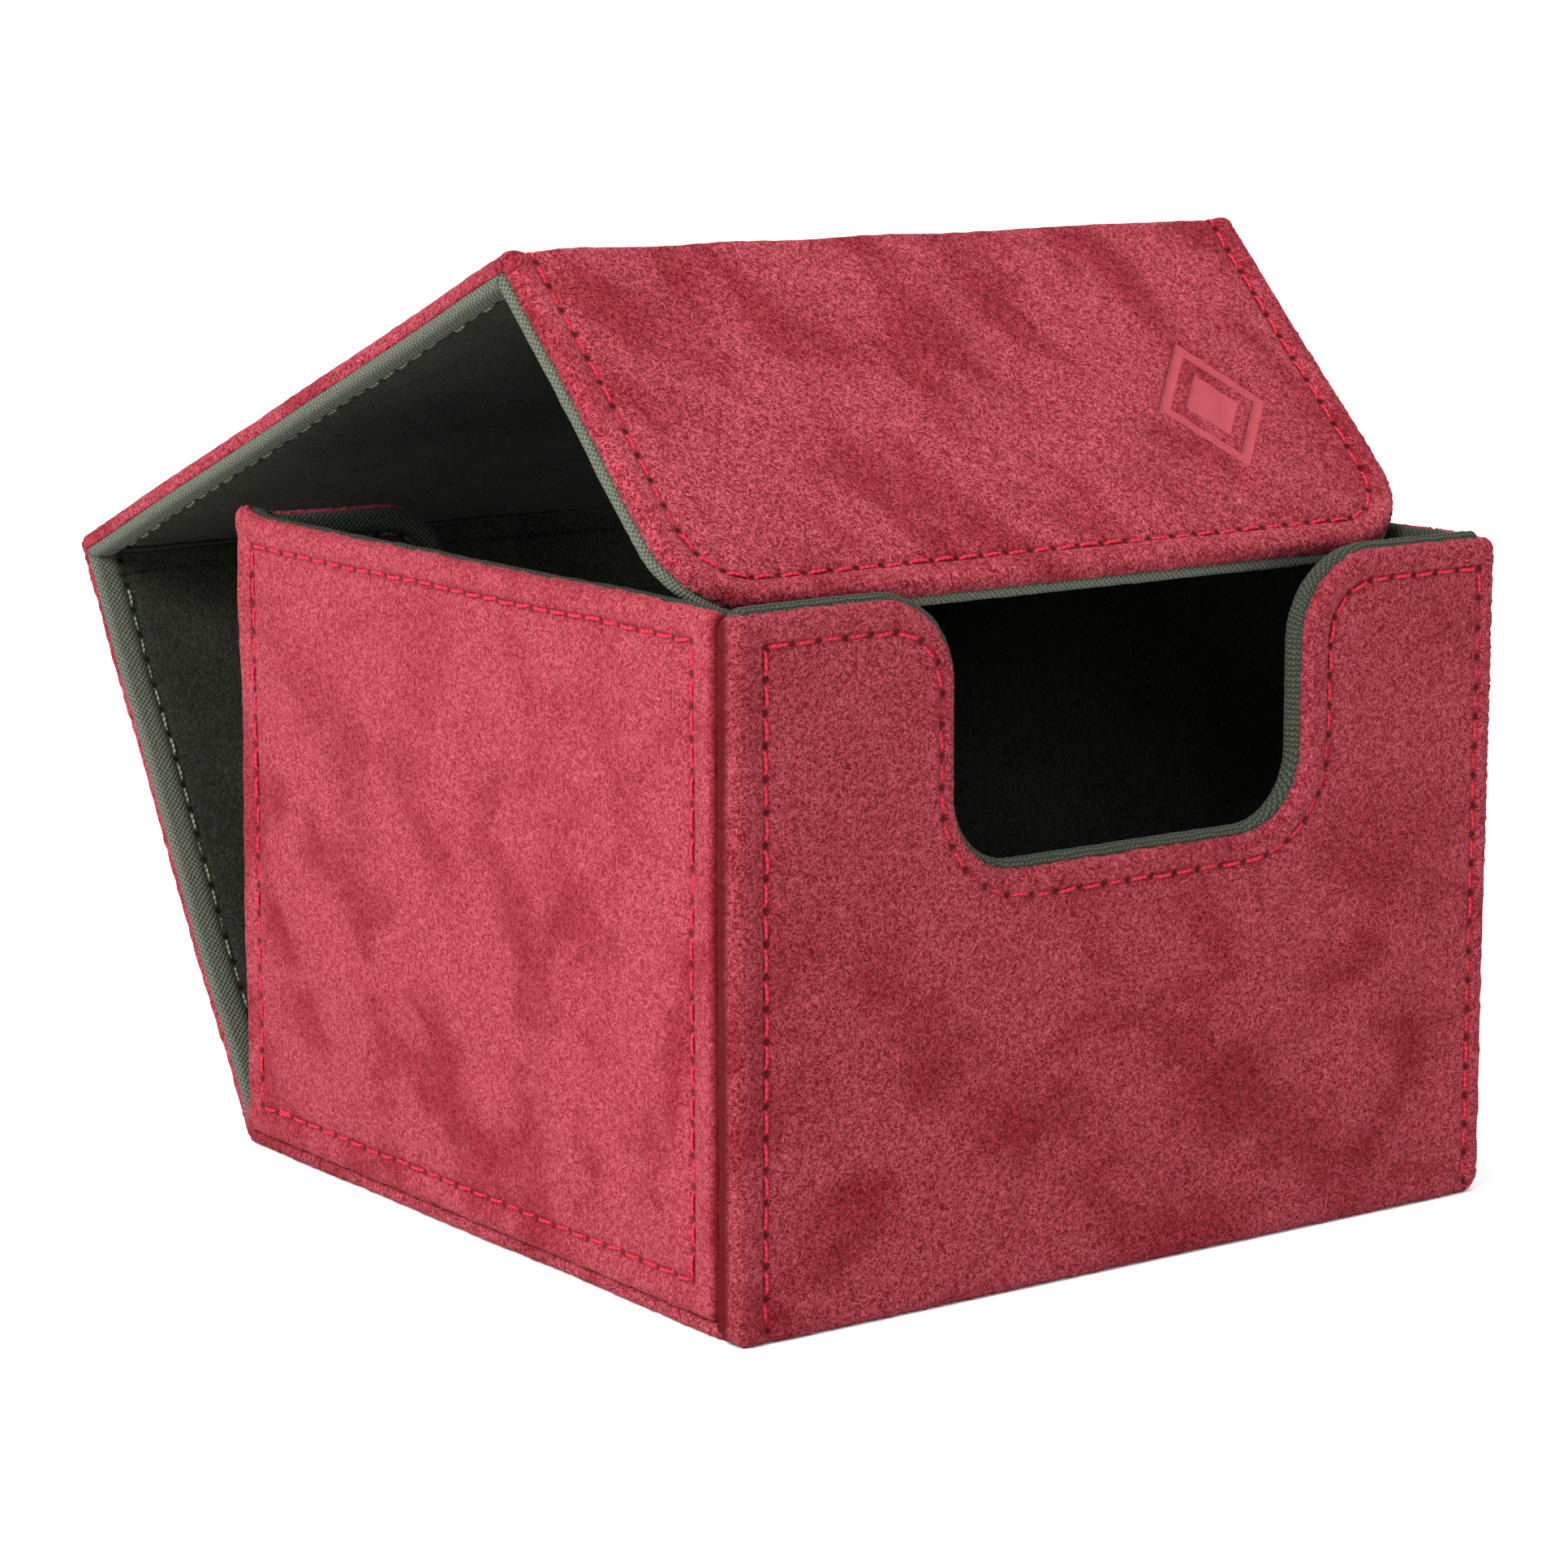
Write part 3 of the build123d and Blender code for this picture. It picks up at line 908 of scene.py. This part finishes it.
def magnet_material():
    n = Nodes("plated_magnet")
    where = n.add("TexCoord").outputs["Object"]
    scuff = n.noise(n.sized(where, (0.0004, 0.002, 0.002)), 1.0, 3.0)
    colour = n.mix(scuff, rgb(168, 170, 174), rgb(206, 207, 210))
    roughness = n.spread(scuff, 0.3, 0.7, 0.22, 0.38)
    return n.finish(n.add("BsdfPrincipled", Base_Color=colour, Metallic=1.0, Roughness=roughness))


# The side and front looks paint shade on the suede where it turns into the gaps at the tray's front corners.
red_sides = suede("red_suede_sides", rgb(142, 50, 61), 1.0, (0.56, 0.15), 0.00024,
                  nap=(11.0, 12.0), turn=20.0, low_down=(75.0, 30.0), holes=0.6,
                  groove=(tray.end / 2, tray.end / 2 - 1.3, tray.end / 2 + 0.3))
red_front = suede("red_suede_front", rgb(134, 43, 54), 1.5, (0.52, 0.145), 0.00032,
                  nap=(14.0, 12.0), low_down=(52.0, 30.0), holes=0.75,
                  groove=(0.0, HALF_W + 0.3, HALF_W + 1.6))
red_cover = suede("red_suede_cover", rgb(148, 48, 60), 1.65, (0.55, 0.15), 0.00042,
                  nap=(18.0, 9.0), turn=28.0, marked=True)
# The three knit looks are one lining cloth: the front wall's is painted darker and the tray's inside darker
# still, as painted shade inside the tray.
front_knit = knit("grey_knit_front", rgb(30, 31, 26), rgb(66, 71, 62), ribbed=True)
cover_knit_look = knit("grey_knit_cover", rgb(47, 49, 40), rgb(101, 106, 94))
inner_knit_shaded = knit("grey_knit_inside_shaded", rgb(17, 18, 15), rgb(54, 57, 50))
red_thread = twisted("red_thread", rgb(188, 34, 56), rgb(158, 20, 42), 0.7)
grey_thread = twisted("grey_thread", rgb(128, 132, 116), rgb(70, 74, 63), 0.7)
# The tray's inner thread is the grey thread painted darker, as painted shade inside the tray.
inner_thread_shaded = twisted("grey_thread_shaded", rgb(56, 59, 51), rgb(32, 34, 29), 0.7)

# ---- seams ----


def wall_seam(middle, drift, low, margin):
    """Stitches up one side of a notched wall, over an ear, round the notch and down the other side."""
    x, top = HALF_W - margin, HEIGHT - STITCH_IN
    ear, floor = NOTCH_HALF + STITCH_IN - 0.6, NOTCH_FLOOR - STITCH_IN + 0.4
    points = [(-x, low), (-x, top), (-ear, top), (-ear, floor), (ear, floor), (ear, top), (x, top), (x, low)]
    outer_r, inner_r = NOTCH_TOP_R - STITCH_IN, NOTCH_BOTTOM_R + STITCH_IN
    line = rounded_line(points, [0, outer_r, inner_r, inner_r, outer_r, 0]) + np.array([middle + drift, 0.0])
    return Seam(line, (1, len(line) - 2))


def framed_seam(u0, u1, low, high):
    return Seam([(u0, low), (u0, high), (u1, high), (u1, low), (u0, low)], (1, 2, 3))


wall_low, wall_high = BASE_TOP + 3.6, HEIGHT - 3.3
front_seam = wall_seam(0.0, STITCH_DRIFT, 1.5, 3.3)
rear_seam = wall_seam(rear_middle, 0.0, wall_low, 4.6)
right_seam = framed_seam(4.4, wall_run - 2.4, wall_low, wall_high)
left_seam = framed_seam(tray.end - wall_run + 2.4, tray.end - 4.4, wall_low, wall_high)
tray_seams = [right_seam, rear_seam, left_seam]
cover_x, flap_end = COVER_HALF - STITCH_IN, cover.end - STITCH_IN
cover_seam = Seam(rounded_line(
    [(2.0, -cover_x), (flap_end, -cover_x), (flap_end, cover_x), (2.0, cover_x)],
    [FLAP_CORNER - STITCH_IN] * 2))

# ---- tray ----
# A bead is (radius, how far it stands above the red edge, depth of its middle).

FRONT_BEAD, SIDE_BEAD, REAR_BEAD = (1.25, 0.62, 2.15), (0.85, 0.08, 2.4), (0.85, -0.15, 2.4)
COVER_BEAD, NO_BEAD = (0.8, 0.45, 2.65), (1.0, 0.0, 1.0)
FOOT_CRUST, FRONT_RIM_CRUST = 2.8, 1.15


def rim_share(u, a):
    """1 on a rim or notch edge, 0 on a wall's foot."""
    return smooth((a - BASE_TOP - 4.0) / 3.0)


def front_share(u, a):
    return rim_share(u, a) * smooth((HALF_W - 0.9 - np.abs(u)) / 1.2)


def side_share(u, a):
    return rim_share(u, a) * smooth((np.minimum(u, tray.end - u) - 0.4) / 1.2)


def beaded(share, sizes, thick):
    plain = np.array([0.5, -0.4, thick - 0.5])

    def bead(u, a):
        return plain + (np.array(sizes) - plain) * share(u, a)[:, None]
    return bead


def front_bead(u, a):
    """The front wall's bead stands furthest out round its notch."""
    sizes = beaded(front_share, FRONT_BEAD, WALL)(u, a)
    sizes[:, 1] += 0.3 * smooth((HEIGHT - a) / 5.0) * rim_share(u, a) * smooth((40.0 - np.abs(u)) / 4.0)
    return sizes


def always(value):
    return lambda u, a: np.full(len(u), value)


def crusted(share, rim, foot):
    """Depth of the red part of an edge: rim where the share is 1, foot where it is 0."""
    return lambda u, a: foot + (rim - foot) * share(u, a)


front_crust = crusted(front_share, FRONT_RIM_CRUST, WALL - 0.05)
side_crust = crusted(side_share, WALL_CRUST, FOOT_CRUST)
rear_crust = crusted(rim_share, WALL_CRUST, FOOT_CRUST)
cover_crust = always(COVER_CRUST)


def front_lining_distance(u, a):
    return np.minimum(front_distance(u, a), a - BASE_TOP)


def rear_crease(u, a):
    """Faint fold in the suede of a side wall just ahead of its rear corner."""
    return bump_at(u, wall_run - 0.4, 0.5) + bump_at(u, tray.end - wall_run + 0.4, 0.5)


def wall_heights(line, coarse, fine, notched):
    bands = [(0, 10), (HEIGHT - 8, HEIGHT)]
    if notched:
        bands = [(0, 8), (NOTCH_FLOOR - 8, HEIGHT)]
    return grid_lines(BASE_TOP + line, HEIGHT - line, coarse, fine, bands)


def notch_bands(middle):
    return [(middle - 38, middle - 11), (middle + 11, middle + 38)]


panel("front_wall_suede", "tray", front, across(HALF_W, *SUEDE_MESH, bands=notch_bands(0.0)),
      grid_lines(ROLL, HEIGHT - ROLL, COARSE, FINE, [(0, 3), (NOTCH_FLOOR - 8, HEIGHT)]),
      front_distance, sewn(front_distance, [front_seam], seed=3), red_front, ["front_wall_skin"],
      crust=front_crust)
panel("front_wall_knit", "tray", front, across(HALF_W, *KNIT_MESH, bands=notch_bands(0.0)),
      wall_heights(*KNIT_MESH, True), front_lining_distance,
      sewn(front_lining_distance, [front_seam], seed=4, lining=True), front_knit,
      ["front_wall_lining"], bead=front_bead, layer=10.0)
thread("front_wall_stitching", "tray", front, [front_seam.holes], red_thread)
thread("front_wall_inner_stitching", "tray", front, [front_seam.holes[1:-1]], inner_thread_shaded,
       WALL)

CORNER_REACH = 2.0
right_end, left_start = wall_run - CORNER_REACH, tray.run(2)[0] + CORNER_REACH
rear_start, rear_end = tray.run(1)[0] + CORNER_REACH, tray.run(1)[1] - CORNER_REACH

for name, low, high, outline, crust, share, seam, sizes, seed in (
    ("right_wall", 0.0, right_end, side_distance, side_crust, side_share, right_seam, SIDE_BEAD, 5),
    ("rear_wall", rear_start, rear_end, rear_distance, rear_crust, rim_share, rear_seam, REAR_BEAD, 6),
    ("left_wall", left_start, tray.end, side_distance, side_crust, side_share, left_seam, SIDE_BEAD, 7),
):
    bands = [(low, low + 7), (high - 7, high)]
    notched = name == "rear_wall"
    if notched:
        bands += notch_bands(rear_middle)
    for lining in (False, True):
        line, coarse, fine = KNIT_MESH if lining else SUEDE_MESH
        start = low + (line if low == 0.0 else 0.0)
        stop = high - (line if high == tray.end else 0.0)
        us = grid_lines(start, stop, coarse, fine, bands)
        hs = wall_heights(line, coarse, fine, notched)
        crease = None if lining else rear_crease
        relief = sewn(outline, [seam], crease=crease, seed=seed + 20 * lining, lining=lining)
        if lining:
            panel(f"{name}_knit", "tray", tray, us, hs, outline, relief, inner_knit_shaded, [f"{name}_lining"],
                  bead=beaded(share, sizes, WALL), layer=20.0)
        else:
            panel(f"{name}_suede", "tray", tray, us, hs, outline, relief, red_sides, [f"{name}_skin"],
                  crust=crust)
    runs = [seam.holes]
    if name == "left_wall":
        # Its sewing ends with one stitch back over the last ones.
        runs.append(seam.holes[-2:-4:-1] + np.array([0.1, 0.35]))
    thread(f"{name}_stitching", "tray", tray, runs, red_thread)
    thread(f"{name}_inner_stitching", "tray", tray, [seam.holes], inner_thread_shaded, WALL)

for name, low, high in (("rear_right", right_end, rear_start), ("rear_left", rear_end, left_start)):
    panel(f"{name}_corner_suede", "tray", tray, grid_lines(low, high, 0.3), wall_heights(*SUEDE_MESH, True),
          corner_distance, sewn(corner_distance, tray_seams, crease=rear_crease, seed=6), red_sides, [],
          crust=rear_crust, curved=True)
    panel(f"{name}_corner_knit", "tray", tray, grid_lines(low, high, 0.5), wall_heights(*KNIT_MESH, True),
          corner_distance, sewn(corner_distance, tray_seams, seed=26, lining=True), inner_knit_shaded, [],
          bead=beaded(rim_share, SIDE_BEAD, WALL), layer=20.0, curved=True)

# ---- base and cover ----
# A fold's strips reach from further than KEEP before its hinge to further than KEEP after it.

turns = {"base_back": back_angle, "back_lid": lid_angle - back_angle, "lid_flap": swing["flap_hinge"]}
KEEP = {"base_back": 1.6, "back_lid": 2.43, "lid_flap": 1.92}
INNER = WALL - FOLD_R + 0.3
reach = {key: KEEP[key] + INNER * tan(radians(turns[key]) / 2) for key in turns}
BASE_REACH, BASE_KEEP = 1.9, 1.0
fold_low = {key: cover.run(i)[1] - reach[key] for i, key in enumerate(turns)}
fold_low["base_back"] = cover.run(0)[1] - BASE_REACH
fold_high = {key: cover.run(i)[0] + reach[key] for i, key in enumerate(turns, 1)}


def base_edges(u, a):
    return np.minimum(BASE_HALF - np.abs(a), u)


def base_relief(u, a):
    """The base lies flat on its underside, so nothing there stands proud."""
    height, marks = sewn(base_edges, [cover_seam], puff=0.0, wave=0.0, seed=9)(u, a)
    return np.minimum(height, 0.0), marks


inside_rear, inner_half, base_thick = REAR - WALL - BASE_START, HALF_W - WALL, BASE_TOP + 0.7


def base_lining_distance(u, a):
    return np.minimum(inner_half - 0.1 - np.abs(a), np.minimum(u - 0.1, inside_rear - 0.1 - u))


panel("base_suede", "tray", cover, grid_lines(ROLL, fold_low["base_back"], COARSE, FINE, [(0, 3)]),
      across(BASE_HALF, *SUEDE_MESH), base_edges, base_relief, red_cover, ["base_skin"], crust=cover_crust)
panel("base_knit", "tray", cover, grid_lines(1.0, inside_rear - 1.0, LINING_COARSE),
      grid_lines(-inner_half + 1.0, inner_half - 1.0, LINING_COARSE), base_lining_distance,
      sewn(base_lining_distance, [], puff=0.1, seed=33, lining=True), inner_knit_shaded, ["base_lining"],
      bead=beaded(always(0.0), NO_BEAD, base_thick), thick=base_thick, layer=30.0)
thread("base_stitching", "tray", cover, runs_between([cover_seam], 0, fold_low["base_back"] - 0.5),
       red_thread)

cover_skin = sewn(cover_distance, [cover_seam], seed=9)
cover_knit = sewn(cover_distance, [cover_seam], puff=0.3, seed=29, lining=True)
cover_bead = beaded(always(1.0), COVER_BEAD, WALL)
for name, low, high in (
    ("back_cover", fold_high["base_back"], fold_low["back_lid"]),
    ("lid", fold_high["back_lid"], fold_low["lid_flap"]),
):
    runs = runs_between([cover_seam], low, high)
    panel(f"{name}_suede", name, cover, grid_lines(low, high, COARSE), across(COVER_HALF, *SUEDE_MESH),
          cover_distance, cover_skin, red_cover, [f"{name}_skin"], crust=cover_crust)
    panel(f"{name}_knit", name, cover, grid_lines(low, high, LINING_COARSE),
          across(COVER_HALF, *KNIT_MESH), cover_distance, cover_knit, cover_knit_look,
          [f"{name}_lining"], bead=cover_bead, layer=40.0)
    thread(f"{name}_stitching", name, cover, runs, red_thread)
    thread(f"{name}_inner_stitching", name, cover, runs, grey_thread, WALL)

flap_low, flap_high = fold_high["lid_flap"], cover.end
flap_bands = [(MARK_AT[0] - MARK_OUTER - 1, flap_high)]
flap_across = across(COVER_HALF, *SUEDE_MESH, 14, [(MARK_AT[1] - MARK_OUTER, COVER_HALF)])
runs = runs_between([cover_seam], flap_low, flap_high)
panel("flap_suede", "flap", cover, grid_lines(flap_low, flap_high - ROLL, COARSE, FINE, flap_bands),
      flap_across, flap_distance,
      sewn(flap_distance, [cover_seam], press=pressed_mark, seed=9), red_cover, ["flap_skin"],
      crust=cover_crust)
panel("flap_knit", "flap", cover,
      grid_lines(flap_low, flap_high - LINING_ROLL, LINING_COARSE, LINING_FINE,
                 [(flap_high - 12, flap_high)]),
      across(COVER_HALF, *KNIT_MESH, 12),
      flap_distance, sewn(flap_distance, [cover_seam], seed=29, lining=True), cover_knit_look,
      ["flap_lining"], bead=cover_bead, layer=40.0)
thread("flap_stitching", "flap", cover, runs, red_thread)
thread("flap_inner_stitching", "flap", cover, runs, grey_thread, WALL)

# ---- folds: cloth that bends between two panels ----


def along_cover(hinge_at, angle, distance):
    """Point of the hinge's plane, in metres, this far from the hinge in a panel's direction."""
    q = hinge_at + distance * np.array([cos(radians(angle)), sin(radians(angle))])
    return (0.0, *q * MM)


for key, hinge_at, first, second, angle, keep in (
    ("base_back", BACK_HINGE, "tray", "back_cover", 0.0, BASE_KEEP),
    ("back_lid", LID_HINGE, "back_cover", "lid", back_angle, KEEP["back_lid"]),
    ("lid_flap", FLAP_HINGE, "lid", "flap", lid_angle, KEEP["lid_flap"]),
):
    low, high = fold_low[key], fold_high[key]
    strips = [
        panel(f"{key}_fold_suede", None, cover, grid_lines(low, high, 0.3), across(COVER_HALF, *SUEDE_MESH),
              cover_distance, cover_skin, red_cover, [f"{key}_fold"], crust=cover_crust, curved=True),
        panel(f"{key}_fold_knit", None, cover, grid_lines(low, high, 0.5), across(COVER_HALF, *KNIT_MESH),
              cover_distance, cover_knit, cover_knit_look, [], bead=cover_bead, layer=40.0, curved=True),
    ]
    runs = runs_between([cover_seam], low, high)
    if runs:
        strips.append(thread(f"{key}_fold_stitching", None, cover, runs, red_thread))
    start = along_cover(hinge_at, angle, -keep)
    for strip in strips:
        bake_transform(strip)

# ---- parts that keep their CAD shape ----

board_look, magnet_look = board_material(), magnet_material()
for name, obj in frame["nodes"].items():
    look = board_look if name.endswith("board") else magnet_look if "magnet" in name else None
    if look:
        for slot in obj.material_slots:
            slot.material = look

# ---- floor, light, camera ----

FLOOR = 6.0
floor_mesh = bpy.data.meshes.new("floor")
floor_mesh.from_pydata(
    [(-FLOOR, -FLOOR, 0), (FLOOR, -FLOOR, 0), (FLOOR, FLOOR, 0), (-FLOOR, FLOOR, 0)], [], [(0, 1, 2, 3)])
floor = linked("floor", floor_mesh)
paper = Nodes("pale_floor")
floor_mesh.materials.append(
    paper.finish(paper.add("BsdfPrincipled", Base_Color=(1.0, 1.0, 1.0, 1.0), Roughness=0.8)))

world = bpy.data.worlds.new("studio")
bpy.context.scene.world = world
world.use_nodes = True
world.node_tree.nodes["Background"].inputs["Color"].default_value = (1.0, 1.0, 1.0, 1.0)
world.node_tree.nodes["Background"].inputs["Strength"].default_value = 1.0


def aimed(obj, at, direction):
    """The object put at a point and turned to face a direction."""
    obj.location = at
    obj.rotation_mode = "QUATERNION"
    obj.rotation_quaternion = direction.to_track_quat("-Z", "Y")
    return obj


def area_light(name, at, size, power):
    light = bpy.data.lights.new(name, "AREA")
    light.shape, light.size, light.energy = "DISK", size, power
    aimed(linked(name, light), at, LIT_POINT - Vector(at))


LIT_POINT = Vector((0, 0, 0.05))
area_light("key", (-0.95, -0.25, 0.75), 0.6, 17.0)
area_light("front_fill", (0.35, -1.1, 0.6), 0.8, 1.0)
area_light("top", (0.1, 0.2, 1.2), 0.9, 6.0)

camera_data = bpy.data.cameras.new("camera")
camera_data.lens, camera_data.sensor_width = 105.4, 36.0
camera_data.clip_start, camera_data.clip_end = 0.05, 20.0
azimuth, elevation, away = radians(-35.97), radians(10.48), 0.5192
target = Vector((-0.00957, 0.0, 0.0463))
back = Vector((sin(azimuth) * cos(elevation), -cos(azimuth) * cos(elevation), sin(elevation)))
bpy.context.scene.camera = aimed(linked("camera", camera_data), target + back * away, -back)
bpy.context.scene.view_settings.view_transform = "Standard"
